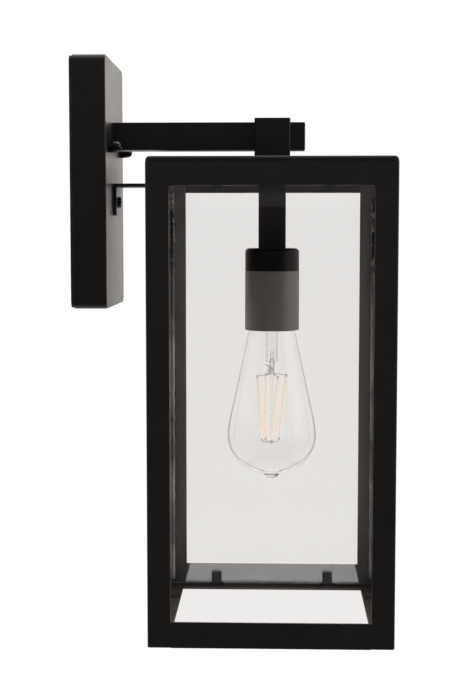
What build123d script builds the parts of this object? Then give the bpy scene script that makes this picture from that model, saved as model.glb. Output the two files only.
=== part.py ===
"""Outdoor wall lantern: a square open-bottomed glass box hung from an arm on a wall canopy.

Frame: millimetres. The wall is the plane Y = 0 and the lantern stands out from it towards -Y.
+Z is up and X runs along the wall. The origin is the centre of the wall box, on the wall.
"""

from build123d import *
from math import cos, pi, radians, sin, sqrt, tan
import os

# ---------------------------------------------------------------- canopy and what is behind it
CANOPY_WIDTH = 105.5
CANOPY_HEIGHT = 177.8
CANOPY_DEPTH = 25.5          # wall to front face, gasket included
CANOPY_SHEET = 1.2
CANOPY_CORNER = 6.0          # radius of the four corners, seen from the front
CANOPY_EDGE = 1.1            # radius of the edge round the front face
CANOPY_DROP = 25.6           # canopy centre below the wall box centre
GASKET_THICKNESS = 2.0
GASKET_WIDTH = 3.5
GASKET_INSET = 0.8

BOX_SCREW_SPACING = 88.9     # wall box screws, one above the other
BOX_SLOT_LENGTH = 14.0
BOX_SLOT_WIDTH = 4.8
MOUNTING_PLATE_SHEET = 2.5
MOUNTING_PLATE_ARM = 20.0    # width of each arm of the cross
MOUNTING_PLATE_END = 6.0     # metal left past a slot or a stud
CABLE_HOLE = 11.0            # supply cable hole in the middle of the mounting plate
STUD_INSET = 17.75           # stud centre in from the canopy's side
STUD_DIAMETER = 4.0
STUD_IN_CAP_NUT = 5.0

# ---------------------------------------------------------------- arm
ARM_SIZE = 20.0              # square tube
ARM_WALL = 1.5
ARM_CORNER = 0.8
ARM_RISE = 9.2               # arm axis above the wall box centre
ARM_OVERHANG = 10.8          # arm past the collar
SPIGOT_LENGTH = 24.0
SHANK_DIAMETER = 10.0        # also the hollow rod down through the stem
SHANK_BORE = 7.0
SHANK_TAIL = 1.4             # shank past its nut
BACKING_SHEET = 1.6
BACKING_WIDTH = 40.0
BACKING_ABOVE_ARM = 20.0     # backing plate above the arm's axis
PLUG_HEAD = 2.0
PLUG_DEPTH = 9.0
PLUG_WALL = 1.6

# ---------------------------------------------------------------- collar, stem and hollow rod
COLLAR_SIZE = 26.0
COLLAR_TOP = 2.95            # metal above the arm
COLLAR_FOOT = 8.4            # metal between the arm and the roof
STEM_SIZE = 20.0
STEM_WALL = 1.5
STEM_WASHER = 38.0           # square washer under the roof
STEM_WASHER_SHEET = 2.0
SOCKET_DROP = 62.85          # socket cap's top below the roof's top
ROD_ABOVE_NUT = 0.6
M10_NUT_FLATS = 13.0
M10_NUT_HEIGHT = 3.0

# ---------------------------------------------------------------- lantern body
BODY_SIDE = 171.2            # square in plan
BODY_HEIGHT = 338.95
REAR_GAP = 30.5              # canopy's front face to the body
FRAME_SHEET = 1.5
POST_FACE = 16.0
POST_EDGE = 1.3
TOP_RAIL_FACE = 16.0
BOTTOM_RAIL_FACE = 18.2
RAIL_FLANGE = 14.0           # flange's inner edge, in from the body's face
FRAME_SEAM = 0.06            # weld seam left between a rail and a post
ROOF_RIM = 3.8
ROOF_WEB = 1.5
ROOF_RIM_WIDTH = 14.5
ROOF_EDGE = 3.0
ROOF_CORNER = 3.2

# ---------------------------------------------------------------- glazing
GLASS = 3.0
GLASS_GAP = 0.5              # glass to frame
GLASS_UNDER_RAIL = 6.0       # glass behind the top rail
PAD_LENGTH = 12.0
PAD_HEIGHT = 1.0
CLIP_WIDTH = 7.8
CLIP_SHEET = 1.0
CLIP_RISE = 10.9             # clip's tab from the flange
CLIP_FOOT = 6.4
CLIP_SPACING = 90.0

# ---------------------------------------------------------------- brace to the canopy
BRACE_SHEET = 2.5
BRACE_WIDTH = 24.0
BRACE_LEG = 23.0
BRACE_ABOVE_EDGE = 1.5       # brace's underside above the top rail's lower edge
BRACE_FLANGE = 13.5
BRACE_BEND = 1.2
BRACE_SCREW_BELOW = 13.4     # canopy screw below the brace's top
BRACE_SCREW_SPACING = 14.0   # the two screws in the rail
BRACE_SCREW_ABOVE = 8.8      # above the brace's underside

# ---------------------------------------------------------------- lamp holder
CAP_DIAMETER = 39.8
CAP_HEIGHT = 16.7
CAP_SHOULDER = 3.0
CAP_WALL = 1.2
SLEEVE_DIAMETER = 40.0
SLEEVE_HEIGHT = 43.65
SLEEVE_WALL = 1.2
CORE_IN_CAP = 5.5
CORE_IN_SLEEVE = 8.0
CORE_DIAMETER = 32.0
CORE_LENGTH = 43.0
HOLDER_BORE = 28.2
HOLDER_DEPTH = 28.0          # bore's depth in the core
HOLDER_SHELL_INNER = 26.9
HOLDER_SHELL_LENGTH = 24.0
CONTACT_HEIGHT = 1.2
TERMINAL_OFFSET = 9.5

# ---------------------------------------------------------------- bulb
BULB_SEAT_GAP = 0.15         # bulb's contact to the holder's contact
BULB_BASE_DIAMETER = 26.0
BULB_BASE_LENGTH = 22.0
BULB_BASE_SHEET = 0.5
BULB_BASE_SHOULDER = 1.5
BULB_INSULATOR_HEIGHT = 3.0
BULB_INSULATOR_TOP = 9.6
BULB_CONTACT_HEIGHT = 1.4
BULB_DIAMETER = 66.0
BULB_GLASS = 0.9
BULB_NECK_DIAMETER = 34.6    # where the glass leaves the sleeve
BULB_NECK_LENGTH = 5.6       # glass inside the sleeve, below the base
BULB_BODY = 105.9            # sleeve's mouth to the bulb's bottom
BULB_WIDEST_ABOVE = 27.4     # widest ring above the bulb's bottom
BULB_TIP_TOP = 12.5
BULB_TIP_END = 6.4
BULB_TIP_HEIGHT = 4.8
MOUNT_TUBE = 9.2             # glass tube inside the neck
MOUNT_TUBE_WALL = 1.0
MOUNT_BELOW = 24.5           # its foot below the sleeve's mouth
PINCH = (11.0, 5.0, 7.5)
FILAMENT_COUNT = 4
FILAMENT_DIAMETER = 1.9
FILAMENT_TOP_RADIUS = 11.6
FILAMENT_FOOT_RADIUS = 7.4
FILAMENT_TOP_BELOW = 35.5
FILAMENT_LENGTH = 46.5
FILAMENT_TURN = 23.0         # first filament's angle from the wall's direction
LEAD_WIRE = 0.8
CENTRE_ROD = 1.8

# ---------------------------------------------------------------- fasteners, wiring and fits
M4 = 4.0
M4_FLATS = 7.0
M4_NUT = 3.2
CAP_NUT_FLATS = 7.9
CAP_NUT_HEX = 3.6
CAP_NUT_LENGTH = 9.2
M3 = 3.0
M3_HEAD = 5.5
M3_HEAD_HEIGHT = 1.8
M3_FLATS = 5.5
M3_NUT = 1.8
ROOF_SCREW_SPACING = 60.0
ROOF_SCREW_BITE = 2.2
PAN_HEAD = 8.0
PAN_HEAD_HEIGHT = 2.4
SET_SCREW_LENGTH = 5.0
SET_SCREW_PITCH = 10.0
SET_SCREW_FIRST = 7.0        # from the canopy's front face
DRIVE_DEPTH = 1.1
BLOCK_WIDTH = 30.0           # terminal block
BLOCK_HEIGHT = 17.0
BLOCK_DEPTH = 12.5
BLOCK_BELOW_BRACE_SCREW = 24.0
BLOCK_POLES = 3
BLOCK_PITCH = 9.4
POLE_SCREW = 3.4
WIRE = 2.2
WIRE_OFFSET = 1.5            # each wire from the middle of the rod's bore
SLIP = 0.05                  # radial clearance of a screw in its hole
FIT = 0.1                    # clearance between parts that slide together

# ---------------------------------------------------------------- places worked out from the sizes
canopy_front = -CANOPY_DEPTH
canopy_inside = canopy_front + CANOPY_SHEET
canopy_z = -CANOPY_DROP
stud_x = CANOPY_WIDTH / 2 - STUD_INSET
axis_y = -(CANOPY_DEPTH + REAR_GAP + BODY_SIDE / 2)
arm_bottom = ARM_RISE - ARM_SIZE / 2
arm_top = ARM_RISE + ARM_SIZE / 2
arm_end = axis_y - COLLAR_SIZE / 2 - ARM_OVERHANG
roof_top = arm_bottom - COLLAR_FOOT
frame_top = roof_top - ROOF_RIM
body_bottom = roof_top - BODY_HEIGHT
half = BODY_SIDE / 2
rail_half = half - POST_FACE - FRAME_SEAM
flange_in = half - RAIL_FLANGE
glass_out = half - FRAME_SHEET - GLASS_GAP
glass_in = glass_out - GLASS
glass_bottom = body_bottom + FRAME_SHEET + PAD_HEIGHT
top_rail_bottom = frame_top - TOP_RAIL_FACE
glass_top = top_rail_bottom + GLASS_UNDER_RAIL
brace_under = top_rail_bottom + BRACE_ABOVE_EDGE
brace_top = brace_under + BRACE_SHEET
brace_screw_z = brace_top - BRACE_SCREW_BELOW
body_rear = axis_y + half
cap_top = roof_top - SOCKET_DROP
cap_bottom = cap_top - CAP_HEIGHT
sleeve_bottom = cap_bottom - SLEEVE_HEIGHT
core_top = cap_bottom + CORE_IN_CAP
core_bottom = core_top - CORE_LENGTH
holder_top = core_bottom + HOLDER_DEPTH
bulb_top = holder_top - CONTACT_HEIGHT - BULB_SEAT_GAP
base_top = bulb_top - BULB_CONTACT_HEIGHT - BULB_INSULATOR_HEIGHT
base_bottom = base_top - BULB_BASE_LENGTH
bulb_bottom = sleeve_bottom - BULB_BODY
block_z = brace_screw_z - BLOCK_BELOW_BRACE_SCREW


# ---------------------------------------------------------------- small shapes
def block(x, y, z):
    """A box between pairs of coordinates."""
    sizes = [abs(b - a) for a, b in (x, y, z)]
    middle = [(a + b) / 2 for a, b in (x, y, z)]
    return Pos(*middle) * Box(*sizes)


def from_wall(x, y, z):
    """A plane at a point, facing away from the wall, with its own Y upwards."""
    return Plane(origin=(x, y, z), x_dir=(1, 0, 0), z_dir=(0, -1, 0))


def to_wall(x, y, z):
    return Plane(origin=(x, y, z), x_dir=(-1, 0, 0), z_dir=(0, 1, 0))


def facing_down(x, y, z):
    return Plane(origin=(x, y, z), x_dir=(1, 0, 0), z_dir=(0, 0, -1))


def facing_up(x, y, z):
    return Plane(origin=(x, y, z), x_dir=(1, 0, 0), z_dir=(0, 0, 1))


def rod(plane, diameter, length):
    """A cylinder that starts on a plane and goes the way it faces."""
    return plane * Cylinder(diameter / 2, length, align=(Align.CENTER, Align.CENTER, Align.MIN))


def hexagon(plane, flats, height):
    return extrude(plane * RegularPolygon(flats / 2, 6, major_radius=False), height)


def slab(plane, width, height, corner, thickness):
    """A flat plate with round corners, standing on a plane."""
    return extrude(plane * RectangleRounded(width, height, corner), thickness)


def nut(plane, thread, flats, height):
    return hexagon(plane, flats, height) - rod(plane, thread + 2 * SLIP, height)


def pan_screw(plane, thread, head, head_height, shank):
    """A screw whose head stands on the plane, facing its way, with its shank behind it."""
    top = rod(plane, head, head_height)
    top = fillet(top.edges().group_by(lambda e: plane.to_local_coords(e.center()).Z)[-1], 0.35 * head_height)
    cross = [plane * Pos(0, 0, head_height) * Box(0.6 * head, 0.16 * head, 2 * DRIVE_DEPTH)]
    cross.append(plane * Pos(0, 0, head_height) * Box(0.16 * head, 0.6 * head, 2 * DRIVE_DEPTH))
    return top - cross + rod(plane.offset(-shank), thread, shank)


def about_body(shape, turn):
    """Turns a piece made on the body's front side, about the body's axis, to another side."""
    return Pos(0, axis_y, 0) * Rot(0, 0, turn) * shape


def write(name, shape):
    if isinstance(shape, (list, tuple)):
        shape = Compound(children=[s for part in shape for s in part.solids()])
    export_step(shape, f"parts/{name}.step")


# ---------------------------------------------------------------- canopy and wall side
def canopy():
    outside = slab(from_wall(0, -GASKET_THICKNESS, canopy_z), CANOPY_WIDTH, CANOPY_HEIGHT,
                   CANOPY_CORNER, CANOPY_DEPTH - GASKET_THICKNESS)
    outside = fillet(outside.faces().sort_by(Axis.Y)[0].edges(), CANOPY_EDGE)
    inside = slab(from_wall(0, -GASKET_THICKNESS, canopy_z), CANOPY_WIDTH - 2 * CANOPY_SHEET,
                  CANOPY_HEIGHT - 2 * CANOPY_SHEET, CANOPY_CORNER - CANOPY_SHEET,
                  CANOPY_DEPTH - GASKET_THICKNESS - CANOPY_SHEET)
    front = from_wall(0, canopy_inside, 0)
    holes = [rod(front * Pos(x, 0, 0), STUD_DIAMETER + 2 * FIT, CANOPY_SHEET) for x in (-stud_x, stud_x)]
    holes.append(rod(front * Pos(0, ARM_RISE, 0), SHANK_DIAMETER + 2 * FIT, CANOPY_SHEET))
    holes.append(rod(front * Pos(0, brace_screw_z, 0), M4 + 2 * FIT, CANOPY_SHEET))
    return outside - inside - holes


def wall_gasket():
    width, height = CANOPY_WIDTH - 2 * GASKET_INSET, CANOPY_HEIGHT - 2 * GASKET_INSET
    corner = CANOPY_CORNER - GASKET_INSET
    plane = from_wall(0, 0, canopy_z)
    ring = slab(plane, width, height, corner, GASKET_THICKNESS)
    return ring - slab(plane, width - 2 * GASKET_WIDTH, height - 2 * GASKET_WIDTH,
                       corner - GASKET_WIDTH, GASKET_THICKNESS)


def mounting_plate():
    """A cross: the upright arm takes the wall box screws and the level arm takes the studs."""
    plane = from_wall(0, 0, 0)
    upright = BOX_SCREW_SPACING + BOX_SLOT_LENGTH + 2 * MOUNTING_PLATE_END
    level = 2 * (stud_x + MOUNTING_PLATE_END)
    cross = slab(plane, MOUNTING_PLATE_ARM, upright, 3, MOUNTING_PLATE_SHEET)
    cross += slab(plane, level, MOUNTING_PLATE_ARM, 3, MOUNTING_PLATE_SHEET)
    slots = [
        extrude(plane * Pos(0, z, 0) * Rot(0, 0, 90) * SlotOverall(BOX_SLOT_LENGTH, BOX_SLOT_WIDTH),
                MOUNTING_PLATE_SHEET)
        for z in (-BOX_SCREW_SPACING / 2, BOX_SCREW_SPACING / 2)
    ]
    studs = [rod(plane * Pos(x, 0, 0), STUD_DIAMETER + 2 * SLIP, MOUNTING_PLATE_SHEET)
             for x in (-stud_x, stud_x)]
    cable = rod(plane, CABLE_HOLE, MOUNTING_PLATE_SHEET)
    earth = rod(plane * Pos(stud_x / 2, 0, 0), M4 + 2 * SLIP, MOUNTING_PLATE_SHEET)
    return cross - slots - studs - cable - earth


def mounting_studs():
    length = CANOPY_DEPTH + STUD_IN_CAP_NUT
    return [chamfer(rod(from_wall(x, 0, 0), STUD_DIAMETER, length).edges().sort_by(Axis.Y)[0], 0.4)
            for x in (-stud_x, stud_x)]


def m4_nuts():
    """One behind the canopy on each stud, and one on the brace's screw."""
    lock = [nut(from_wall(x, -MOUNTING_PLATE_SHEET, 0), STUD_DIAMETER, M4_FLATS, M4_NUT)
            for x in (-stud_x, stud_x)]
    brace = nut(from_wall(0, canopy_inside + BACKING_SHEET + M4_NUT, brace_screw_z), M4, M4_FLATS, M4_NUT)
    return [*lock, brace]


def cap_nut(x):
    base = from_wall(x, canopy_front, 0)
    shank = hexagon(base, CAP_NUT_FLATS, CAP_NUT_HEX)
    radius = CAP_NUT_FLATS / 2 - 0.2
    neck = rod(base.offset(CAP_NUT_HEX), 2 * radius, CAP_NUT_LENGTH - CAP_NUT_HEX - radius)
    dome = base.offset(CAP_NUT_LENGTH - radius) * Sphere(radius)
    dome &= rod(base.offset(CAP_NUT_HEX), 2 * radius + 1, CAP_NUT_LENGTH)
    return shank + neck + dome - rod(base, STUD_DIAMETER + 2 * SLIP, STUD_IN_CAP_NUT + 0.5)


def earth_screw():
    plate_face = from_wall(stud_x / 2, -MOUNTING_PLATE_SHEET, 0)
    head = hexagon(plate_face, M4_FLATS, 0.7 * M4_NUT)
    slot = plate_face * Pos(0, 0, 0.7 * M4_NUT) * Box(M4_FLATS + 1, 1, 1.6)
    return head - slot + rod(from_wall(stud_x / 2, 0, 0), M4, MOUNTING_PLATE_SHEET)


def pole_x(pole):
    return (pole - (BLOCK_POLES - 1) / 2) * BLOCK_PITCH


def terminal_block():
    """Three clamps side by side, with a way in for the wires above and below."""
    face = canopy_inside + BACKING_SHEET
    z = (block_z - BLOCK_HEIGHT / 2, block_z + BLOCK_HEIGHT / 2)
    body = block((-BLOCK_WIDTH / 2, BLOCK_WIDTH / 2), (face, face + 0.6 * BLOCK_DEPTH), z)
    for pole in range(BLOCK_POLES):
        tower = block((pole_x(pole) - 0.38 * BLOCK_PITCH, pole_x(pole) + 0.38 * BLOCK_PITCH),
                      (face, face + BLOCK_DEPTH), (z[0] + 1.5, z[1] - 1.5))
        body += tower
    ways = [rod(facing_down(pole_x(p), face + 0.4 * BLOCK_DEPTH, z[1]), WIRE + 4 * FIT, BLOCK_HEIGHT)
            for p in range(BLOCK_POLES)]
    wells = [
        rod(from_wall(pole_x(p), face + BLOCK_DEPTH, block_z + side * BLOCK_HEIGHT / 4), POLE_SCREW + 2 * FIT,
            0.5 * BLOCK_DEPTH)
        for p in range(BLOCK_POLES) for side in (-1, 1)
    ]
    feet = [rod(from_wall(x, face + BLOCK_DEPTH, block_z), M3 + 2 * SLIP, BLOCK_DEPTH)
            for x in block_screws_x()]
    return body - ways - wells - feet


def block_screws_x():
    """The block is held by two screws between its poles."""
    return [(pole_x(0) + pole_x(1)) / 2, (pole_x(1) + pole_x(2)) / 2]


def terminal_screws():
    face = canopy_inside + BACKING_SHEET
    made = []
    for pole in range(BLOCK_POLES):
        for side in (-1, 1):
            end = from_wall(pole_x(pole), face + BLOCK_DEPTH - 1.0, block_z + side * BLOCK_HEIGHT / 4)
            screw = rod(end, POLE_SCREW, 0.5 * BLOCK_DEPTH - 1.5)
            made.append(screw - end * Box(POLE_SCREW + 1, 0.7, 1.6))
    return made


# ---------------------------------------------------------------- arm
def arm_backing_plate():
    """Stiffens the canopy behind the arm and carries the terminal block."""
    top = ARM_RISE + BACKING_ABOVE_ARM
    bottom = block_z - BLOCK_HEIGHT / 2 - 3
    plane = from_wall(0, canopy_inside + BACKING_SHEET, (top + bottom) / 2)
    plate = slab(plane, BACKING_WIDTH, top - bottom, 4, BACKING_SHEET)
    face = from_wall(0, canopy_inside + BACKING_SHEET, 0)
    plate -= rod(face * Pos(0, ARM_RISE, 0), SHANK_DIAMETER + 2 * FIT, BACKING_SHEET)
    plate -= rod(face * Pos(0, brace_screw_z, 0), M4 + 2 * FIT, BACKING_SHEET)
    for x in block_screws_x():
        plate -= rod(face * Pos(x, block_z, 0), M3 + 2 * SLIP, BACKING_SHEET)
    return plate


def arm_spigot():
    """A block inside the arm, with a hollow threaded shank through the canopy."""
    inner = ARM_SIZE - 2 * ARM_WALL - 2 * FIT
    plug = slab(from_wall(0, canopy_front, ARM_RISE), inner, inner, 1, SPIGOT_LENGTH)
    shank_end = canopy_inside + BACKING_SHEET + M10_NUT_HEIGHT + SHANK_TAIL
    tail = from_wall(0, shank_end, ARM_RISE)
    plug += rod(tail, SHANK_DIAMETER, shank_end - canopy_front)
    for y in set_screw_y():
        plug -= rod(facing_up(0, y, arm_bottom), M4 + 2 * SLIP, SET_SCREW_LENGTH + FIT)
    return plug - rod(tail, SHANK_BORE, shank_end - canopy_front + SPIGOT_LENGTH)


def set_screw_y():
    return [canopy_front - SET_SCREW_FIRST - n * SET_SCREW_PITCH for n in range(2)]


def arm_set_screws():
    made = []
    for y in set_screw_y():
        head = facing_up(0, y, arm_bottom)
        made.append(rod(head, M4, SET_SCREW_LENGTH) - hexagon(head, 2.0, 2.0))
    return made


def arm_tube():
    length = canopy_front - arm_end - PLUG_HEAD
    plane = from_wall(0, canopy_front, ARM_RISE)
    tube = slab(plane, ARM_SIZE, ARM_SIZE, ARM_CORNER, length)
    inner = ARM_SIZE - 2 * ARM_WALL
    tube -= slab(plane, inner, inner, 0.4, length)
    tube -= rod(facing_up(0, axis_y, arm_bottom), SHANK_DIAMETER + 2 * FIT, ARM_WALL)
    for y in set_screw_y():
        tube -= rod(facing_up(0, y, arm_bottom), M4 + 2 * FIT, ARM_WALL)
    return tube


def arm_end_plug():
    shoulder = from_wall(0, arm_end + PLUG_HEAD, ARM_RISE)
    head = slab(shoulder, ARM_SIZE, ARM_SIZE, ARM_CORNER, PLUG_HEAD)
    head = chamfer(head.faces().sort_by(Axis.Y)[0].edges(), 0.5)
    inner = ARM_SIZE - 2 * ARM_WALL - 2 * FIT
    back = shoulder.offset(-PLUG_DEPTH)
    skirt = slab(back, inner, inner, 0.6, PLUG_DEPTH)
    return head + skirt - slab(back, inner - 2 * PLUG_WALL, inner - 2 * PLUG_WALL, 0.5, PLUG_DEPTH - 1)


# ---------------------------------------------------------------- collar and stem
def collar():
    """Carries the body under the arm, which goes right through it."""
    body = slab(facing_up(0, axis_y, roof_top), COLLAR_SIZE, COLLAR_SIZE, 1.0,
                arm_top + COLLAR_TOP - roof_top)
    body = fillet(body.faces().sort_by(Axis.Z)[-1].edges(), 0.6)
    window = ARM_SIZE + 2 * FIT
    body -= slab(from_wall(0, axis_y + COLLAR_SIZE, ARM_RISE), window, window, ARM_CORNER, 2 * COLLAR_SIZE)
    return body - rod(facing_up(0, axis_y, roof_top), SHANK_DIAMETER + 2 * FIT, COLLAR_FOOT + FIT)


def hollow_rod():
    top = arm_bottom + ARM_WALL + M10_NUT_HEIGHT + ROD_ABOVE_NUT
    bottom = cap_top - CAP_WALL - M10_NUT_HEIGHT - ROD_ABOVE_NUT
    plane = facing_up(0, axis_y, bottom)
    return rod(plane, SHANK_DIAMETER, top - bottom) - rod(plane, SHANK_BORE, top - bottom)


def m10_nuts():
    """Inside the arm, inside the socket cap, and on the spigot's shank behind the canopy."""
    return [
        nut(facing_up(0, axis_y, arm_bottom + ARM_WALL), SHANK_DIAMETER, M10_NUT_FLATS, M10_NUT_HEIGHT),
        nut(facing_down(0, axis_y, cap_top - CAP_WALL), SHANK_DIAMETER, M10_NUT_FLATS, M10_NUT_HEIGHT),
        nut(from_wall(0, canopy_inside + BACKING_SHEET + M10_NUT_HEIGHT, ARM_RISE), SHANK_DIAMETER,
            M10_NUT_FLATS, M10_NUT_HEIGHT),
    ]


def stem_washer():
    plane = facing_down(0, axis_y, roof_top - ROOF_WEB)
    plate = slab(plane, STEM_WASHER, STEM_WASHER, 3, STEM_WASHER_SHEET)
    return plate - rod(plane, SHANK_DIAMETER + 2 * FIT, STEM_WASHER_SHEET)


def stem_tube():
    top = roof_top - ROOF_WEB - STEM_WASHER_SHEET
    plane = facing_down(0, axis_y, top)
    tube = slab(plane, STEM_SIZE, STEM_SIZE, ARM_CORNER, top - cap_top)
    inner = STEM_SIZE - 2 * STEM_WALL
    return tube - slab(plane, inner, inner, 0.4, top - cap_top)


# ---------------------------------------------------------------- lantern body, made on its front side
def roof_plate():
    """A plate with a thick rim that sits on the frame and a thinner middle."""
    plate = slab(facing_down(0, 0, roof_top), BODY_SIDE, BODY_SIDE, ROOF_CORNER, ROOF_RIM)
    plate = fillet(plate.faces().sort_by(Axis.Z)[-1].edges(), ROOF_EDGE)
    middle = BODY_SIDE - 2 * ROOF_RIM_WIDTH
    plate -= slab(facing_down(0, 0, roof_top - ROOF_WEB), middle, middle, 2, ROOF_RIM - ROOF_WEB)
    plate -= rod(facing_down(0, 0, roof_top), SHANK_DIAMETER + 2 * FIT, ROOF_WEB)
    for turn in (0, 90, 180, 270):
        for x, y in roof_screw_places():
            hole = rod(facing_up(x, y, frame_top), M3 + 2 * SLIP, ROOF_SCREW_BITE + FIT)
            plate -= Rot(0, 0, turn) * hole
    return about_body(plate, 0)


def roof_screw_places():
    y = -(half - FRAME_SHEET - 0.55 * (RAIL_FLANGE - FRAME_SHEET))
    return [(x, y) for x in (-ROOF_SCREW_SPACING / 2, ROOF_SCREW_SPACING / 2)]


def post():
    """Corner angle at the front left, from the roof to the bottom."""
    face = POST_FACE
    outline = Polyline((-half, -half), (-half + face, -half), (-half + face, -half + FRAME_SHEET),
                       (-half + FRAME_SHEET, -half + FRAME_SHEET), (-half + FRAME_SHEET, -half + face),
                       (-half, -half + face), close=True)
    angle = extrude(Plane.XY.offset(body_bottom) * make_face(outline), frame_top - body_bottom)
    corner = angle.edges().filter_by(Axis.Z).sort_by(lambda e: e.center().X + e.center().Y)[0]
    angle = fillet(corner, POST_EDGE)
    foot = angle.faces().sort_by(Axis.Z)[0].edges()
    outer = [e for e in foot if min(e.center().X, e.center().Y) < -half + 0.6 * POST_EDGE]
    return chamfer(outer, 0.6)


def flange(z_low):
    """A rail's flange, mitred at both ends."""
    outer, inner = half - FRAME_SHEET, flange_in
    mitre = FRAME_SEAM * sqrt(2) / 2
    outline = Polyline((-outer + mitre, -outer), (outer - mitre, -outer), (inner - mitre, -inner),
                       (-inner + mitre, -inner), close=True)
    return extrude(Plane.XY.offset(z_low) * make_face(outline), FRAME_SHEET)


def web(z_low, z_high):
    return block((-rail_half, rail_half), (-half, -half + FRAME_SHEET), (z_low, z_high))


def top_rail(screw_holes=()):
    rail = web(top_rail_bottom, frame_top) + flange(frame_top - FRAME_SHEET)
    for x, y in roof_screw_places():
        rail -= rod(facing_down(x, y, frame_top), M3 + 2 * FIT, FRAME_SHEET)
    for x, z in screw_holes:
        rail -= rod(from_wall(x, -half + FRAME_SHEET, z), M3 + 2 * FIT, FRAME_SHEET)
    return rail


def bottom_rail():
    return web(body_bottom, body_bottom + BOTTOM_RAIL_FACE) + flange(body_bottom)


def pane(half_width):
    sheet = block((-half_width, half_width), (-glass_out, -glass_in), (glass_bottom, glass_top))
    return chamfer(sheet.edges(), 0.3)


def clip(x, upright):
    """A bent tab that keeps the glass against the frame: one leg on the flange, one on the glass."""
    z = body_bottom + FRAME_SHEET if upright else frame_top - FRAME_SHEET
    way = 1 if upright else -1
    wide = (x - CLIP_WIDTH / 2, x + CLIP_WIDTH / 2)
    tab_out = glass_in - 2 * FIT
    tab = block(wide, (-tab_out, -tab_out + CLIP_SHEET), (z, z + way * CLIP_RISE))
    foot = block(wide, (-tab_out, -tab_out + CLIP_FOOT + CLIP_SHEET), (z, z + way * CLIP_SHEET))
    return tab + foot


def glass_pads():
    """Soft blocks under each pane."""
    made = []
    for turn in (0, 90, 180, 270):
        for x in (-CLIP_SPACING / 2, CLIP_SPACING / 2):
            pad = block((x - PAD_LENGTH / 2, x + PAD_LENGTH / 2), (-glass_out, -glass_in),
                        (body_bottom + FRAME_SHEET, glass_bottom))
            made.append(about_body(pad, turn))
    return made


# ---------------------------------------------------------------- brace
def brace_bracket():
    """A strip bent twice: down the canopy, across the gap and up the rear top rail."""
    across = (-BRACE_WIDTH / 2, BRACE_WIDTH / 2)
    strip = block(across, (canopy_front - BRACE_SHEET, canopy_front), (brace_top - BRACE_LEG, brace_top))
    strip += block(across, (body_rear, canopy_front), (brace_under, brace_top))
    strip += block(across, (body_rear, body_rear + BRACE_SHEET), (brace_under, brace_under + BRACE_FLANGE))
    bends = strip.edges().filter_by(Axis.X)
    outer = [e for e in bends if abs(e.center().Z - brace_top) < 0.01 and e.center().Y > canopy_front - 0.01]
    outer += [e for e in bends if abs(e.center().Z - brace_under) < 0.01 and e.center().Y < body_rear + 0.01]
    strip = fillet(outer, BRACE_BEND)
    strip -= rod(from_wall(0, canopy_front, brace_screw_z), M4 + 2 * FIT, BRACE_SHEET)
    for x in brace_screw_x():
        strip -= rod(from_wall(x, body_rear + BRACE_SHEET, brace_rail_screw_z()), M3 + 2 * FIT, BRACE_SHEET)
    return strip


def brace_screw_x():
    return [-BRACE_SCREW_SPACING / 2, BRACE_SCREW_SPACING / 2]


def brace_rail_screw_z():
    return brace_under + BRACE_SCREW_ABOVE


def brace_canopy_screw():
    reach = BRACE_SHEET + CANOPY_SHEET + BACKING_SHEET + M4_NUT + 1
    return pan_screw(from_wall(0, canopy_front - BRACE_SHEET, brace_screw_z), M4, PAN_HEAD, PAN_HEAD_HEIGHT,
                     reach)


def m3_screws():
    """Roof screws up through the top rails, brace screws into the rear rail, and the block's screws."""
    made = []
    for turn in (0, 90, 180, 270):
        for x, y in roof_screw_places():
            screw = pan_screw(facing_down(x, y, frame_top - FRAME_SHEET), M3, M3_HEAD, M3_HEAD_HEIGHT,
                              FRAME_SHEET + ROOF_SCREW_BITE)
            made.append(about_body(screw, turn))
    reach = BRACE_SHEET + FRAME_SHEET + M3_NUT + 0.4
    made += [pan_screw(to_wall(x, body_rear + BRACE_SHEET, brace_rail_screw_z()), M3, M3_HEAD,
                       M3_HEAD_HEIGHT, reach) for x in brace_screw_x()]
    return made


def m3_nuts():
    inside = body_rear - FRAME_SHEET
    return [nut(from_wall(x, inside, brace_rail_screw_z()), M3, M3_FLATS, M3_NUT) for x in brace_screw_x()]


# ---------------------------------------------------------------- lamp holder
def turned(points):
    """A solid of revolution about the body's axis, from (radius, height) points."""
    outline = Polyline(*[(r, 0, z) for r, z in points], close=True)
    return about_body(revolve(make_face(outline), Axis.Z), 0)


def socket_cap():
    outside = rod(facing_down(0, axis_y, cap_top), CAP_DIAMETER, CAP_HEIGHT)
    outside = fillet(outside.edges().sort_by(Axis.Z)[-1], CAP_SHOULDER)
    inside = rod(facing_down(0, axis_y, cap_top - CAP_WALL), CAP_DIAMETER - 2 * CAP_WALL, CAP_HEIGHT)
    inside = fillet(inside.edges().sort_by(Axis.Z)[-1], CAP_SHOULDER - CAP_WALL)
    return outside - inside - rod(facing_down(0, axis_y, cap_top), SHANK_DIAMETER + 2 * FIT, CAP_WALL)


def socket_sleeve():
    plane = facing_down(0, axis_y, cap_bottom)
    tube = rod(plane, SLEEVE_DIAMETER, SLEEVE_HEIGHT)
    tube = fillet(tube.edges().sort_by(Axis.Z)[0], 0.8)
    return tube - rod(plane, SLEEVE_DIAMETER - 2 * SLEEVE_WALL, SLEEVE_HEIGHT)


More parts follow.
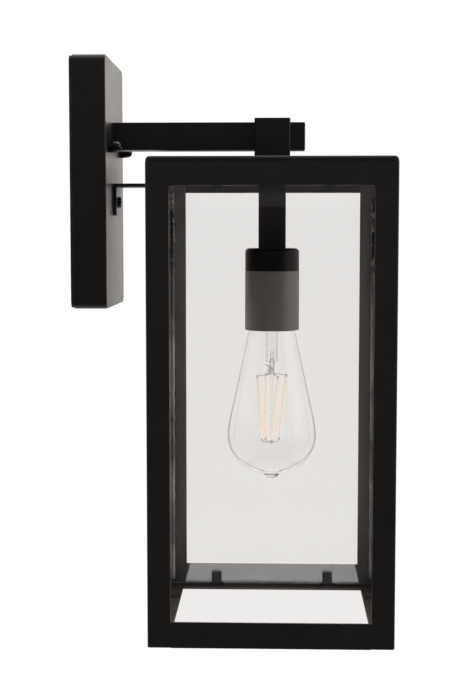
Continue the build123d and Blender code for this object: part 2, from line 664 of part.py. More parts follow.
def socket_core():
    in_cap = CAP_DIAMETER / 2 - CAP_WALL - FIT
    in_sleeve = SLEEVE_DIAMETER / 2 - SLEEVE_WALL - FIT
    core = turned([(0, core_top), (in_cap, core_top), (in_cap, cap_bottom), (in_sleeve, cap_bottom),
                   (in_sleeve, cap_bottom - CORE_IN_SLEEVE), (CORE_DIAMETER / 2, cap_bottom - CORE_IN_SLEEVE),
                   (CORE_DIAMETER / 2, core_bottom), (0, core_bottom)])
    core -= rod(facing_up(0, axis_y, core_bottom), HOLDER_BORE, HOLDER_DEPTH)
    for side in (-1, 1):
        core -= rod(facing_down(side * TERMINAL_OFFSET, axis_y, core_top), M3 + 2 * SLIP, 4)
    return core


def socket_shell():
    """The threaded sleeve that the bulb screws into, drawn plain at the thread's crests."""
    plane = facing_up(0, axis_y, core_bottom + 1)
    return (rod(plane, HOLDER_BORE - 2 * FIT, HOLDER_SHELL_LENGTH)
            - rod(plane, HOLDER_SHELL_INNER, HOLDER_SHELL_LENGTH))


def socket_contact():
    """A brass strip across the top of the bore, bowed down to the bulb."""
    strip = Pos(0, axis_y, holder_top - 0.25) * Box(16, 6, 0.5)
    button = rod(facing_down(0, axis_y, holder_top - 0.25), 6.5, CONTACT_HEIGHT - 0.25)
    return strip + fillet(button.edges().sort_by(Axis.Z)[0], 0.3)


def socket_terminals():
    return [pan_screw(facing_up(side * TERMINAL_OFFSET, axis_y, core_top), M3, 6.0, M3_HEAD_HEIGHT, 3.5)
            for side in (-1, 1)]


# ---------------------------------------------------------------- bulb
def bulb_outline(inset):
    """Right half of the glass, from the neck's top round to the bottom, drawn in by inset."""
    slope = (BULB_DIAMETER - BULB_NECK_DIAMETER) / 2 / (BULB_BODY - BULB_WIDEST_ABOVE)
    neck = BULB_NECK_DIAMETER / 2 - inset
    widest = BULB_DIAMETER / 2 - inset
    widest_z = bulb_bottom + BULB_WIDEST_ABOVE
    bend_z = widest_z + 0.35 * BULB_WIDEST_ABOVE
    bend = neck + slope * 1.08 * (sleeve_bottom - bend_z)
    throat = BULB_BASE_DIAMETER / 2 - 0.7 - inset
    top = base_bottom
    foot_z = bulb_bottom + inset
    shoulder_r, shoulder_z = 0.825 * widest, bulb_bottom + 0.43 * BULB_WIDEST_ABOVE + 0.6 * inset
    low_r, low_z = 0.45 * widest, bulb_bottom + 0.092 * BULB_WIDEST_ABOVE + 0.9 * inset
    funnel = Spline((throat, 0, top), (neck, 0, sleeve_bottom), tangents=[(0.2, 0, -1), (slope, 0, -1)])
    side = Line((neck, 0, sleeve_bottom), (bend, 0, bend_z))
    round_end = Spline((bend, 0, bend_z), (widest, 0, widest_z), (shoulder_r, 0, shoulder_z),
                       (low_r, 0, low_z), (0, 0, foot_z), tangents=[(slope * 1.08, 0, -1), (-1, 0, 0)])
    axis = Polyline((0, 0, foot_z), (0, 0, top), (throat, 0, top))
    return make_face([*funnel.edges(), *side.edges(), *round_end.edges(), *axis.edges()])


def bulb_glass():
    envelope = revolve(bulb_outline(0), Axis.Z)
    envelope -= revolve(bulb_outline(BULB_GLASS), Axis.Z)
    start = bulb_bottom + BULB_GLASS * 0.7
    end = bulb_bottom - BULB_TIP_HEIGHT
    tip = Pos(0, 0, (start + end) / 2) * Cone(BULB_TIP_END / 2, BULB_TIP_TOP / 2, start - end)
    tip = fillet(tip.edges().sort_by(Axis.Z)[0], 0.8)
    return about_body(envelope + tip, 0)


def bulb_mount():
    """Glass tube in the neck, pinched flat at its foot, with a thin rod below it."""
    foot = sleeve_bottom - MOUNT_BELOW
    tube = rod(facing_down(0, 0, base_bottom), MOUNT_TUBE, base_bottom - foot)
    tube -= rod(facing_down(0, 0, base_bottom), MOUNT_TUBE - 2 * MOUNT_TUBE_WALL, base_bottom - foot - 2)
    pinch = Pos(0, 0, foot - PINCH[2] / 2 + 0.5) * Box(*PINCH)
    pinch = fillet(pinch.edges().filter_by(Axis.Z), 1.2)
    rod_length = FILAMENT_TOP_BELOW + FILAMENT_LENGTH + 2 - MOUNT_BELOW - PINCH[2]
    thin = rod(facing_down(0, 0, foot - PINCH[2] + 1), CENTRE_ROD, rod_length)
    return about_body(tube + pinch + thin, 0)


def filament_ends(index):
    angle = radians(FILAMENT_TURN + index * 360 / FILAMENT_COUNT)
    top_z = sleeve_bottom - FILAMENT_TOP_BELOW
    lean = FILAMENT_TOP_RADIUS - FILAMENT_FOOT_RADIUS
    foot_z = top_z - sqrt(FILAMENT_LENGTH ** 2 - lean ** 2)
    top = Vector(-FILAMENT_TOP_RADIUS * sin(angle), FILAMENT_TOP_RADIUS * cos(angle), top_z)
    foot = Vector(-FILAMENT_FOOT_RADIUS * sin(angle), FILAMENT_FOOT_RADIUS * cos(angle), foot_z)
    return top, foot


def stick(start, end, diameter):
    return rod(Plane(origin=start, z_dir=end - start), diameter, (end - start).length)


def bulb_filaments():
    return [about_body(stick(*filament_ends(i), FILAMENT_DIAMETER), 0) for i in range(FILAMENT_COUNT)]


def bulb_wires():
    """A lead from the pinch to each filament's top, and one from its foot to the middle rod."""
    made = []
    foot = sleeve_bottom - MOUNT_BELOW - PINCH[2] + 0.5
    for i in range(FILAMENT_COUNT):
        top, low = filament_ends(i)
        side_x, side_y = (1 if top.X > 0 else -1), (1 if top.Y > 0 else -1)
        start = Vector(side_x * 0.3 * PINCH[0], side_y * 0.22 * PINCH[1], foot)
        elbow = start - Vector(0, 0, 1.6)
        up = top + (top - low).normalized() * 0.6
        lead = stick(start, elbow, LEAD_WIRE) + stick(elbow, up, LEAD_WIRE)
        lead += Pos(*elbow) * Sphere(LEAD_WIRE / 2)
        made.append(about_body(lead, 0))
        tail = low - (top - low).normalized() * 0.6
        inward = Vector(low.X, low.Y, 0).normalized() * (CENTRE_ROD / 2 + 0.1)
        hub = Vector(inward.X, inward.Y, tail.Z - 1.5)
        made.append(about_body(stick(tail, hub, LEAD_WIRE), 0))
    return made


def bulb_base_shell():
    plane = facing_down(0, axis_y, base_top)
    shell = rod(plane, BULB_BASE_DIAMETER, BULB_BASE_LENGTH)
    shell = fillet(shell.edges().sort_by(Axis.Z)[-1], BULB_BASE_SHOULDER)
    inside = rod(plane.offset(BULB_BASE_SHEET), BULB_BASE_DIAMETER - 2 * BULB_BASE_SHEET,
                 BULB_BASE_LENGTH - BULB_BASE_SHEET)
    return shell - fillet(inside.edges().sort_by(Axis.Z)[-1], BULB_BASE_SHOULDER - BULB_BASE_SHEET)


def bulb_insulator():
    top = base_top + BULB_INSULATOR_HEIGHT
    return turned([(0, base_top), (0.36 * BULB_BASE_DIAMETER, base_top), (BULB_INSULATOR_TOP / 2, top), (0, top)])


def bulb_contact():
    button = rod(facing_up(0, axis_y, bulb_top - BULB_CONTACT_HEIGHT), BULB_INSULATOR_TOP, BULB_CONTACT_HEIGHT)
    return fillet(button.edges().sort_by(Axis.Z)[-1], 0.8)


# ---------------------------------------------------------------- wiring
def tube_along(points):
    """A wire along straight runs joined by arcs, each as large as its two runs allow."""
    points = [Vector(*p) for p in points]
    radii = []
    for before, here, after in zip(points, points[1:], points[2:]):
        turn = radians((here - before).get_angle(after - here))
        radii.append(0.45 * min((here - before).length, (after - here).length) / tan(turn / 2))
    path = FilletPolyline(*points, radius=radii)
    start = Plane(origin=path @ 0, z_dir=path % 0)
    wire = sweep(start * Circle(WIRE / 2), path=path)
    expected = pi * (WIRE / 2) ** 2 * path.length
    print("wire length", round(path.length, 1), "volume share", round(wire.volume / expected, 4),
          "radii", [round(r, 1) for r in radii])
    return wire


def lamp_wire(side, pole):
    """From a pole of the block, up behind the arm, along it and down the hollow rod to the holder."""
    x, near = pole_x(pole), side * WIRE_OFFSET
    block_y = canopy_inside + BACKING_SHEET + 0.4 * BLOCK_DEPTH
    entry = block_z + BLOCK_HEIGHT / 2
    return tube_along([
        (x, block_y, block_z + 1),
        (x, block_y, entry + 9),
        (x * 0.9, block_y + 4.5, entry + 26),
        (x * 0.5 + near * 0.5, block_y + 9, ARM_RISE - 22),
        (near, block_y + 10, ARM_RISE),
        (near, canopy_front - 14, ARM_RISE + 0.4),
        (near * 1.1, canopy_front - 48, ARM_RISE - 0.6),
        (near * 0.9, axis_y + 42, ARM_RISE - 0.4),
        (near, axis_y + 16, ARM_RISE + 3.2),
        (near, axis_y, ARM_RISE + 4),
        (near * 1.05, axis_y, arm_bottom - 12),
        (near * 0.9, axis_y, roof_top - 34),
        (near, axis_y, cap_top - CAP_WALL - M10_NUT_HEIGHT - 1),
        (side * (TERMINAL_OFFSET - 3.6), axis_y, core_top + 1.2),
    ])


def earth_wire():
    """From the block's last pole to the earth screw on the mounting plate."""
    x = pole_x(BLOCK_POLES - 1)
    block_y = canopy_inside + BACKING_SHEET + 0.4 * BLOCK_DEPTH
    entry = block_z + BLOCK_HEIGHT / 2
    screw_x = stud_x / 2
    front = -MOUNTING_PLATE_SHEET - WIRE / 2 - FIT
    return tube_along([
        (x, block_y, block_z + 1),
        (x, block_y, entry + 9),
        (x + 4, block_y + 5, entry + 24),
        (screw_x + 6, front - 5, -22),
        (screw_x + 4, front - 1, -11),
        (screw_x, front, -M4_FLATS / 2 - 1.1),
    ])


# ---------------------------------------------------------------- write every piece
def main():
    os.makedirs("parts", exist_ok=True)
    for old in os.listdir("parts"):
        if old.endswith(".step"):
            os.remove(os.path.join("parts", old))
    write("canopy", canopy())
    write("wall_gasket", wall_gasket())
    write("mounting_plate", mounting_plate())
    write("mounting_studs", mounting_studs())
    write("m4_nuts", m4_nuts())
    write("cap_nuts", [cap_nut(-stud_x), cap_nut(stud_x)])
    write("earth_screw", earth_screw())
    write("terminal_block", terminal_block())
    write("terminal_screws", terminal_screws())
    write("arm_backing_plate", arm_backing_plate())
    write("arm_spigot", arm_spigot())
    write("arm_set_screws", arm_set_screws())
    write("arm_tube", arm_tube())
    write("arm_end_plug", arm_end_plug())
    write("collar", collar())
    write("hollow_rod", hollow_rod())
    write("m10_nuts", m10_nuts())
    write("stem_washer", stem_washer())
    write("stem_tube", stem_tube())
    write("roof_plate", roof_plate())
    corners = {"front_left": 0, "front_right": 90, "rear_right": 180, "rear_left": 270}
    for corner, turn in corners.items():
        write(f"post_{corner}", about_body(post(), turn))
    sides = {"front": 0, "right": 90, "rear": 180, "left": 270}
    for side, turn in sides.items():
        rear_holes = [(x, brace_rail_screw_z()) for x in brace_screw_x()] if side == "rear" else ()
        write(f"top_rail_{side}", about_body(top_rail(rear_holes), turn))
        write(f"bottom_rail_{side}", about_body(bottom_rail(), turn))
        half_width = glass_out if side in ("front", "rear") else glass_in - GLASS_GAP
        write(f"glass_{side}", about_body(pane(half_width), turn))
    for place, upright in (("lower", True), ("upper", False)):
        write(f"glass_clips_{place}", [about_body(clip(x, upright), turn) for turn in sides.values()
                                       for x in (-CLIP_SPACING / 2, CLIP_SPACING / 2)])
    write("glass_pads", glass_pads())
    write("brace_bracket", brace_bracket())
    write("brace_canopy_screw", brace_canopy_screw())
    write("m3_screws", m3_screws())
    write("m3_nuts", m3_nuts())
    write("socket_cap", socket_cap())
    write("socket_sleeve", socket_sleeve())
    write("socket_core", socket_core())
    write("socket_shell", socket_shell())
    write("socket_contact", socket_contact())
    write("socket_terminals", socket_terminals())
    write("bulb_glass", bulb_glass())
    write("bulb_mount", bulb_mount())
    write("bulb_filaments", bulb_filaments())
    write("bulb_wires", bulb_wires())
    write("bulb_base_shell", bulb_base_shell())
    write("bulb_insulator", bulb_insulator())
    write("bulb_contact", bulb_contact())
    write("wire_live", lamp_wire(-1, 0))
    write("wire_neutral", lamp_wire(1, 1))
    write("wire_earth", earth_wire())


main()
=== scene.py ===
"""Looks of the square wall lantern: blown bulb, filaments, threads, finishes, light and camera."""

from math import cos, pi, radians, sin, sqrt

import bmesh
import bpy
from mathutils import Matrix, Vector, noise


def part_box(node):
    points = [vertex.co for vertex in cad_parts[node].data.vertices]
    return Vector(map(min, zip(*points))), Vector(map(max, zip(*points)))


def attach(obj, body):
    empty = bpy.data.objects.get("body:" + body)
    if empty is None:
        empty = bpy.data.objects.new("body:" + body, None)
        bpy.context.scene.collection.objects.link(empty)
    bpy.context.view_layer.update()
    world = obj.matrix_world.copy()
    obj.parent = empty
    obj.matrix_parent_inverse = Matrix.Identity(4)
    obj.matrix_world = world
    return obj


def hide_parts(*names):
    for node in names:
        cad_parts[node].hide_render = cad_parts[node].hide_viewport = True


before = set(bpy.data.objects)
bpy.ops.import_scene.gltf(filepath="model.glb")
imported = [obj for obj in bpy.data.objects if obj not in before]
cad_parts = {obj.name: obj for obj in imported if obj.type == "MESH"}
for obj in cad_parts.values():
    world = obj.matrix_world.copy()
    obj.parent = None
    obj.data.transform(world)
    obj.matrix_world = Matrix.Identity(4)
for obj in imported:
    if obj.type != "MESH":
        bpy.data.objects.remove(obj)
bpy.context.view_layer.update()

MM = 0.001
FULL_TURN = 2 * pi
WELD = 1e-6      # points nearer than this are one


# ---------------------------------------------------------------- places read from the model
def low(node):
    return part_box(node)[0]


def high(node):
    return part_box(node)[1]


def middle(node):
    return (low(node) + high(node)) / 2


bulb_axis = middle("bulb_glass")
sleeve_mouth = low("socket_sleeve").z
bulb_radius = (high("bulb_glass").x - low("bulb_glass").x) / 2
lantern_axis_y = middle("roof_plate").y
lantern_foot = low("post_front_left").z

# ---------------------------------------------------------------- camera
CAMERA_PLACE = Vector((-1.000, -0.1459, -0.0625))
CAMERA_DOWN = 0.0849        # radians below level
CAMERA_TURN = 0.03285       # radians towards the wall
CAMERA_LENS = 69.44         # millimetres
CAMERA_SENSOR = 36          # millimetres wide


def set_camera():
    data = bpy.data.cameras.new("camera")
    data.lens = CAMERA_LENS
    data.sensor_width = CAMERA_SENSOR
    data.clip_start = 0.01
    data.clip_end = 50
    camera = bpy.data.objects.new("camera", data)
    bpy.context.collection.objects.link(camera)
    towards = Vector((cos(CAMERA_DOWN) * cos(CAMERA_TURN), cos(CAMERA_DOWN) * sin(CAMERA_TURN),
                      -sin(CAMERA_DOWN)))
    camera.location = CAMERA_PLACE
    camera.rotation_mode = "QUATERNION"
    camera.rotation_quaternion = towards.to_track_quat("-Z", "Y")
    bpy.context.scene.camera = camera


set_camera()


# ---------------------------------------------------------------- finishes
SEALANT_GLINTS_FOOT = high("glass_left").z - 66 * MM     # heights between which the corner beads' painted glints give way to a painted glow
SEALANT_GLOW_HEAD = high("glass_left").z - 76 * MM
INWARD_FROM, INWARD_TO = -0.04, -0.02             # how far a face has to look in to count as an inner one
UPWARD_COUNTS = 60 * MM                           # and how much looking up adds to that
SQUARE_ON_GLOSS = 0.04                            # share of light that glass mirrors seen square on
SLANT_POWER = 5                                   # how late the gloss rises towards a glancing angle


class Finish:
    """A material and short ways to add its nodes."""

    def __init__(self, name, **settings):
        self.material = bpy.data.materials.new(name)
        self.material.use_nodes = True
        self.tree = self.material.node_tree
        self.nodes = self.tree.nodes
        self.shader = self.nodes["Principled BSDF"]
        self.output = self.nodes["Material Output"]
        for socket, value in settings.items():
            self.shader.inputs[socket.replace("_", " ")].default_value = value
        self.places = self.nodes.new("ShaderNodeTexCoord")

    def join(self, source, target):
        self.tree.links.new(source, target)

    def stretched(self, scale):
        mapping = self.nodes.new("ShaderNodeMapping")
        mapping.inputs["Scale"].default_value = scale
        self.join(self.places.outputs["Object"], mapping.inputs["Vector"])
        return mapping.outputs["Vector"]

    def noise(self, scale, detail=2.0, rough=0.5, vector=None):
        node = self.nodes.new("ShaderNodeTexNoise")
        node.inputs["Scale"].default_value = scale
        node.inputs["Detail"].default_value = detail
        node.inputs["Roughness"].default_value = rough
        self.join(vector or self.places.outputs["Object"], node.inputs["Vector"])
        return node.outputs["Fac"]

    def ramp(self, fac, first, last, start=0.35, end=0.65):
        node = self.nodes.new("ShaderNodeValToRGB")
        for stop, place, colour in zip(node.color_ramp.elements, (start, end), (first, last)):
            stop.position = place
            stop.color = (*colour, 1)
        self.join(fac, node.inputs["Fac"])
        return node.outputs["Color"]

    def spread(self, fac, lowest, highest, start=0.3, end=0.7):
        node = self.nodes.new("ShaderNodeMapRange")
        for socket, value in zip(("From Min", "From Max", "To Min", "To Max"), (start, end, lowest, highest)):
            node.inputs[socket].default_value = value
        self.join(fac, node.inputs["Value"])
        return node.outputs["Result"]

    def bump(self, height, strength, distance, below=None):
        node = self.nodes.new("ShaderNodeBump")
        node.inputs["Strength"].default_value = strength
        node.inputs["Distance"].default_value = distance
        self.join(height, node.inputs["Height"])
        if below is not None:
            self.join(below, node.inputs["Normal"])
        return node.outputs["Normal"]

    def mix(self, fac, first, second):
        node = self.nodes.new("ShaderNodeMix")
        node.data_type = "RGBA"
        for source, socket in zip((fac, first, second), (0, 6, 7)):
            self.join(source, node.inputs[socket])
        return node.outputs[2]

    def painted_light_faces(self):
        """1 where a face looks in towards the lantern's upright axis, or up, and 0 where it looks out: the
        faces that powder_coat paints lighter, as painted light.
        """
        out = self.nodes.new("ShaderNodeVectorMath")
        out.operation = "SUBTRACT"
        out.inputs[1].default_value = (0, lantern_axis_y, 0)
        self.join(self.places.outputs["Object"], out.inputs[0])
        flat = self.nodes.new("ShaderNodeVectorMath")
        flat.operation = "MULTIPLY"
        flat.inputs[1].default_value = (1, 1, 0)
        self.join(out.outputs["Vector"], flat.inputs[0])
        low_side = self.nodes.new("ShaderNodeVectorMath")
        low_side.operation = "ADD"
        low_side.inputs[1].default_value = (0, 0, -UPWARD_COUNTS)
        self.join(flat.outputs["Vector"], low_side.inputs[0])
        lean = self.nodes.new("ShaderNodeVectorMath")
        lean.operation = "DOT_PRODUCT"
        self.join(low_side.outputs["Vector"], lean.inputs[0])
        self.join(self.places.outputs["Normal"], lean.inputs[1])
        return self.spread(lean.outputs["Value"], 1, 0, INWARD_FROM, INWARD_TO)

    def slant_gloss(self, square_on):
        """Share of light that a flat face mirrors: least seen square on, all of it at a glancing angle."""
        weight = self.nodes.new("ShaderNodeLayerWeight")
        weight.inputs["Blend"].default_value = 0.5
        steep = self.nodes.new("ShaderNodeMath")
        steep.operation = "POWER"
        steep.inputs[1].default_value = SLANT_POWER
        self.join(weight.outputs["Facing"], steep.inputs[0])
        return self.spread(steep.outputs["Value"], square_on, 1, 0, 1)

    def to(self, socket, source):
        self.join(source, self.shader.inputs[socket])

    def let_lamps_through(self, tint):
        """Light from the lamps goes straight through the glass."""
        path = self.nodes.new("ShaderNodeLightPath")
        clear = self.nodes.new("ShaderNodeBsdfTransparent")
        clear.inputs["Color"].default_value = (*tint, 1)
        either = self.nodes.new("ShaderNodeMixShader")
        self.join(path.outputs["Is Shadow Ray"], either.inputs["Fac"])
        self.join(self.shader.outputs["BSDF"], either.inputs[1])
        self.join(clear.outputs["BSDF"], either.inputs[2])
        self.join(either.outputs["Shader"], self.output.inputs["Surface"])


def powder_coat(name, darkest, lightest, smoothest, roughest, specular, inside=None):
    """Baked powder paint: a fine orange-peel skin with slow changes of tone and sheen.

    Given inside, faces that look in towards the lantern's axis or up get that lighter colour instead: painted
    light, standing in for the light that reaches those faces.
    """
    f = Finish(name, Specular_IOR_Level=specular)
    colour = f.ramp(f.noise(34, 4), darkest, lightest)
    if inside:
        # painted light: inner and upward faces take the lighter inside colour
        colour = f.mix(f.painted_light_faces(), colour, f.ramp(f.noise(34, 4), *inside))
    f.to("Base Color", colour)
    f.to("Roughness", f.spread(f.noise(11, 5, 0.6), smoothest, roughest))
    grain = f.bump(f.noise(2600, 2, 0.55), 0.10, 0.0001)
    f.to("Normal", f.bump(f.noise(420, 1), 0.07, 0.0002, grain))
    return f.material


def plated_steel(name, first, last, stretch):
    """Zinc or nickel plate with faint drawing lines along the part."""
    f = Finish(name, Metallic=1.0)
    lines = f.noise(60, 6, 0.7, f.stretched(stretch))
    f.to("Base Color", f.ramp(lines, first, last))
    f.to("Roughness", f.spread(f.noise(180, 3), 0.22, 0.4))
    f.to("Normal", f.bump(lines, 0.12, 0.0001))
    return f.material


def moulding(name, first, last, roughness, grain):
    """Plastic, rubber and insulation: soft sheen and a moulded grain."""
    f = Finish(name)
    f.to("Base Color", f.ramp(f.noise(70, 3), first, last))
    f.to("Roughness", f.spread(f.noise(220, 2), roughness - 0.06, roughness + 0.08))
    f.to("Normal", f.bump(f.noise(1500, 2), grain, 0.0001))
    return f.material


def glaze(name, first, last):
    """Fired porcelain or black bulb glass, with a wavy gloss."""
    f = Finish(name, Coat_Weight=0.6, Coat_Roughness=0.08)
    f.to("Base Color", f.ramp(f.noise(90, 4), first, last))
    f.to("Roughness", f.spread(f.noise(300, 2), 0.18, 0.34))
    f.to("Normal", f.bump(f.noise(160, 2), 0.08, 0.0003))
    return f.material


def pane_glass(name, across, deepest, palest):
    """Flat drawn glass: clear with a faint warm tint that drifts slowly, a mirror gloss at a slant,
    and ground edges that catch the light. across is 0 or 1, the axis that the pane faces.
    The tint is counted at each of the pane's two faces.
    """
    f = Finish(name, Specular_IOR_Level=0.3)
    clear = f.nodes.new("ShaderNodeBsdfTransparent")
    f.join(f.ramp(f.noise(6, 2), deepest, palest), clear.inputs["Color"])
    gloss = f.nodes.new("ShaderNodeBsdfGlossy")
    gloss.inputs["Roughness"].default_value = 0.0
    f.join(f.bump(f.noise(9, 1), 0.01, 0.0005), gloss.inputs["Normal"])
    face = f.nodes.new("ShaderNodeMixShader")
    f.join(f.slant_gloss(SQUARE_ON_GLOSS), face.inputs["Fac"])
    f.join(clear.outputs["BSDF"], face.inputs[1])
    f.join(gloss.outputs["BSDF"], face.inputs[2])
    # ground edges: grey, dull and finely mottled
    f.to("Base Color", f.ramp(f.noise(260, 3), (0.20, 0.21, 0.20), (0.34, 0.35, 0.34)))
    f.to("Roughness", f.spread(f.noise(400, 2), 0.45, 0.65))
    sides = f.nodes.new("ShaderNodeSeparateXYZ")
    f.join(f.places.outputs["Normal"], sides.inputs["Vector"])
    size = f.nodes.new("ShaderNodeMath")
    size.operation = "ABSOLUTE"
    f.join(sides.outputs[across], size.inputs[0])
    either = f.nodes.new("ShaderNodeMixShader")
    f.join(f.spread(size.outputs["Value"], 0.0, 1.0, 0.4, 0.6), either.inputs["Fac"])
    f.join(f.shader.outputs["BSDF"], either.inputs[1])
    f.join(face.outputs["Shader"], either.inputs[2])
    f.join(either.outputs["Shader"], f.output.inputs["Surface"])
    return f.material


def blown_glass(name, tint, wave, bending=1.47):
    """Thin blown glass with slight waves."""
    f = Finish(name, Base_Color=(*tint, 1), Roughness=0.0, IOR=bending, Transmission_Weight=1.0)
    f.to("Normal", f.bump(f.noise(55, 2), wave, 0.0006))
    f.let_lamps_through((0.95, 0.95, 0.94))
    return f.material


def phosphor():
    """Amber silicone on the filaments, mottled where it is thinner, with a faint painted glow."""
    # the emission is a painted glow: the filaments are not a lamp in this scene
    f = Finish("amber_phosphor_painted_glow", Emission_Color=(1.0, 0.82, 0.68, 1), Emission_Strength=0.36)
    f.to("Base Color", f.ramp(f.noise(900, 3), (0.94, 0.79, 0.64), (0.97, 0.88, 0.78)))
    f.to("Roughness", f.spread(f.noise(1400, 2), 0.42, 0.6))
    f.to("Normal", f.bump(f.noise(2200, 2), 0.2, 0.00005))
    return f.material


def squeezed_sealant():
    """Silicone bead, coloured partly as grey silicone and partly as painted light: dark with painted pale
    glints at the head, a paler painted glow lower down, uneven all the way.
    """
    f = Finish("sealant_with_painted_light")
    heights = f.nodes.new("ShaderNodeSeparateXYZ")
    f.join(f.places.outputs["Object"], heights.inputs["Vector"])
    # painted light: a paler painted glow on the lower bead, and dark tone with painted pale glints at its head
    painted_glow = f.ramp(f.noise(1.0, 3, 0.6, f.stretched((90, 90, 22))),
                   (0.09, 0.088, 0.085), (0.32, 0.31, 0.30), 0.38, 0.58)
    painted_glints = f.ramp(f.noise(1.0, 4, 0.7, f.stretched((400, 400, 190))),
                     (0.006, 0.006, 0.006), (0.30, 0.29, 0.28), 0.50, 0.62)
    lower_down = f.spread(heights.outputs["Z"], 1, 0, SEALANT_GLOW_HEAD, SEALANT_GLINTS_FOOT)
    f.to("Base Color", f.mix(lower_down, painted_glints, painted_glow))
    f.to("Roughness", f.spread(f.noise(300, 2), 0.25, 0.5))
    f.to("Normal", f.bump(f.noise(500, 3), 0.3, 0.0003))
    return f.material


# inside= paints the inner and upward faces of the frame lighter: painted light
black_coat = powder_coat("black_powder_coat", (0.0096, 0.0084, 0.0074), (0.0120, 0.0106, 0.0094),
                         0.36, 0.46, 0.35, inside=((0.036, 0.032, 0.030), (0.048, 0.043, 0.040)))
roof_coat = powder_coat("black_roof_coat", (0.0080, 0.0070, 0.0062), (0.0100, 0.0088, 0.0078), 0.42, 0.52, 0.15)
arm_coat = powder_coat("black_arm_coat", (0.0105, 0.0094, 0.0090), (0.0130, 0.0118, 0.0114), 0.34, 0.44, 0.35)
# inside= paints the inner and upward faces of the clips lighter: painted light
clip_coat = powder_coat("black_clip_coat", (0.0040, 0.0036, 0.0034), (0.0060, 0.0055, 0.0052),
                        0.45, 0.55, 0.3, inside=((0.016, 0.014, 0.014), (0.022, 0.020, 0.020)))
nut_coat = powder_coat("black_nut_coat", (0.0030, 0.0027, 0.0026), (0.0048, 0.0044, 0.0042), 0.22, 0.32, 0.35)
stem_coat = powder_coat("black_gloss_coat", (0.0008, 0.0008, 0.0007), (0.0016, 0.0015, 0.0014), 0.03, 0.05, 1.0)
cap_coat = powder_coat("black_cap_coat", (0.0018, 0.0017, 0.0016), (0.0032, 0.0030, 0.0028), 0.34, 0.42, 0.12)
canopy_coat = powder_coat("canopy_powder_coat", (0.0078, 0.0070, 0.0062), (0.0100, 0.0090, 0.0080),
                          0.34, 0.42, 0.35)
sleeve_coat = powder_coat("grey_sleeve_coat", (0.110, 0.102, 0.087), (0.134, 0.123, 0.106), 0.34, 0.44, 0.55)
zinc = plated_steel("zinc_plate", (0.42, 0.42, 0.40), (0.66, 0.66, 0.63), (1, 1, 0.08))
nickel = plated_steel("nickel_plate", (0.58, 0.56, 0.52), (0.80, 0.78, 0.73), (0.15, 0.15, 1))
brass = plated_steel("brass", (0.58, 0.40, 0.16), (0.80, 0.60, 0.28), (1, 1, 0.2))
green_zinc = powder_coat("green_screw_lacquer", (0.02, 0.16, 0.05), (0.04, 0.26, 0.09), 0.25, 0.4, 0.5)
rubber = moulding("black_rubber", (0.010, 0.010, 0.010), (0.022, 0.022, 0.021), 0.75, 0.35)
block_plastic = moulding("white_block_plastic", (0.60, 0.59, 0.55), (0.74, 0.73, 0.69), 0.45, 0.15)
wire_black = moulding("black_insulation", (0.012, 0.012, 0.012), (0.026, 0.026, 0.025), 0.38, 0.08)
wire_white = moulding("white_insulation", (0.62, 0.61, 0.57), (0.76, 0.75, 0.71), 0.38, 0.08)
wire_green = moulding("green_insulation", (0.02, 0.16, 0.05), (0.04, 0.25, 0.08), 0.38, 0.08)
porcelain = glaze("porcelain", (0.70, 0.69, 0.65), (0.82, 0.81, 0.78))
vitrite = glaze("black_bulb_glass", (0.006, 0.006, 0.008), (0.016, 0.015, 0.018))
# one glass in all four panes, but the left pane is tinted darker and the right pane nearly clear: painted shade
# in the left pane, darkening all that is seen through it
left_window_painted_shade = pane_glass("left_pane_glass_painted_shade", 0, (0.943, 0.934, 0.928), (0.947, 0.939, 0.933))
right_window = pane_glass("right_pane_glass", 0, (0.994, 0.992, 0.989), (0.997, 0.995, 0.992))
front_window = pane_glass("front_pane_glass", 1, (0.976, 0.970, 0.963), (0.980, 0.974, 0.967))
bulb_clear = blown_glass("bulb_glass_clear", (0.985, 0.981, 0.975), 0.05, 1.32)
stem_clear = blown_glass("stem_glass_clear", (0.985, 0.985, 0.980), 0.08, 1.25)
amber = phosphor()
sealant = squeezed_sealant()

CAD_FINISHES = {
    black_coat: ["post_*", "top_rail_*", "bottom_rail_*", "m3_screws"],
    arm_coat: ["arm_tube", "arm_end_plug", "arm_set_screws", "collar", "stem_washer", "brace_bracket"],
    nut_coat: ["brace_canopy_screw", "cap_nuts"],
    roof_coat: ["roof_plate"],
    stem_coat: ["stem_tube"],
    cap_coat: ["socket_cap"],
    clip_coat: ["glass_clips_*"],
    canopy_coat: ["canopy"],
    sleeve_coat: ["socket_sleeve"],
    zinc: ["mounting_plate", "mounting_studs", "m4_nuts", "terminal_screws", "arm_backing_plate", "arm_spigot",
           "hollow_rod", "m10_nuts", "m3_nuts"],
    nickel: ["bulb_base_shell", "bulb_contact", "bulb_wires", "socket_shell"],
    brass: ["socket_contact", "socket_terminals"],
    green_zinc: ["earth_screw"],
    rubber: ["wall_gasket", "glass_pads"],
    block_plastic: ["terminal_block"],
    wire_black: ["wire_live"],
    wire_white: ["wire_neutral"],
    wire_green: ["wire_earth"],
    porcelain: ["socket_core"],
    vitrite: ["bulb_insulator"],
    left_window_painted_shade: ["glass_left"],
    right_window: ["glass_right"],
    front_window: ["glass_front", "glass_rear"],
    bulb_clear: ["bulb_glass"],
    stem_clear: ["bulb_mount"],
    amber: ["bulb_filaments"],
}


def finish_cad_nodes():
    for material, names in CAD_FINISHES.items():
        for name in names:
            for node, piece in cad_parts.items():
                if node == name or (name.endswith("*") and node.startswith(name[:-1])):
                    for slot in piece.material_slots:
                        slot.material = material


finish_cad_nodes()


# ---------------------------------------------------------------- making pieces
def finish_piece(piece, body, replaced, rounds=0):
    if rounds:
        rounding = piece.modifiers.new("rounding", "SUBSURF")
        rounding.levels = rounding.render_levels = rounds
    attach(piece, body)
    if replaced:
        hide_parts(*replaced)
    return piece


